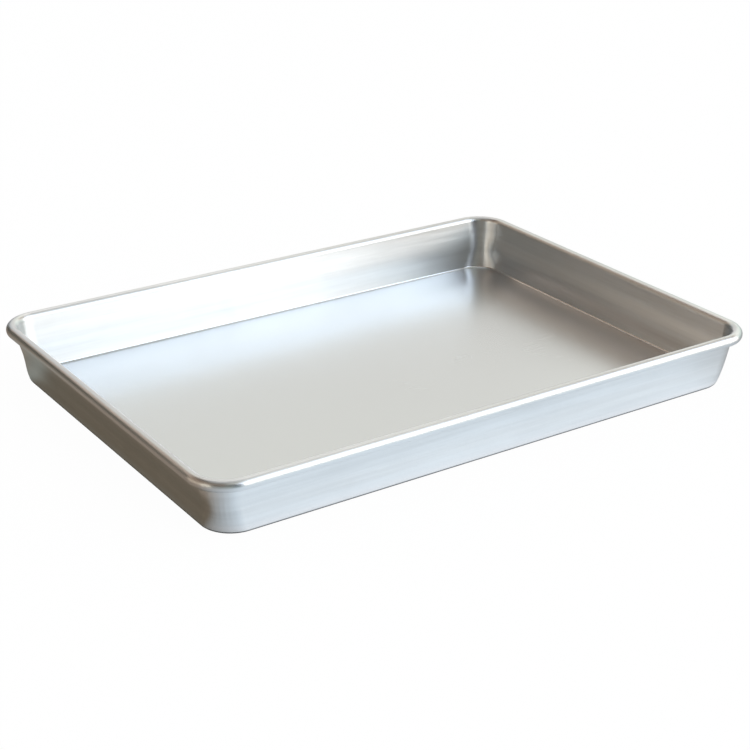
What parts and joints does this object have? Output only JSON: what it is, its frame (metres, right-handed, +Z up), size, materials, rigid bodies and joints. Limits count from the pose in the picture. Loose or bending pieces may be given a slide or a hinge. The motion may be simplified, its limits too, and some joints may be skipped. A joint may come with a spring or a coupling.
{
  "type": "jelly roll pan",
  "caption": "Shallow rectangular baking pan with rounded corners, leaning walls and a rolled wired rim.",
  "frame": {"origin": "middle of the underside, on the surface the pan stands on", "axes": "+X along the pan's length, +Y along its width, +Z up out of the pan"},
  "size_m": [0.35, 0.25, 0.0335],
  "materials": {
    "aluminium_sheet": "satin, as rolled and drawn",
    "rim_wire_steel": "drawn wire, zinc plated"
  },
  "bodies": {
    "root": {"pan_sheet": "aluminium_sheet", "rim_wire": "rim_wire_steel"}
  },
  "joints": []
}
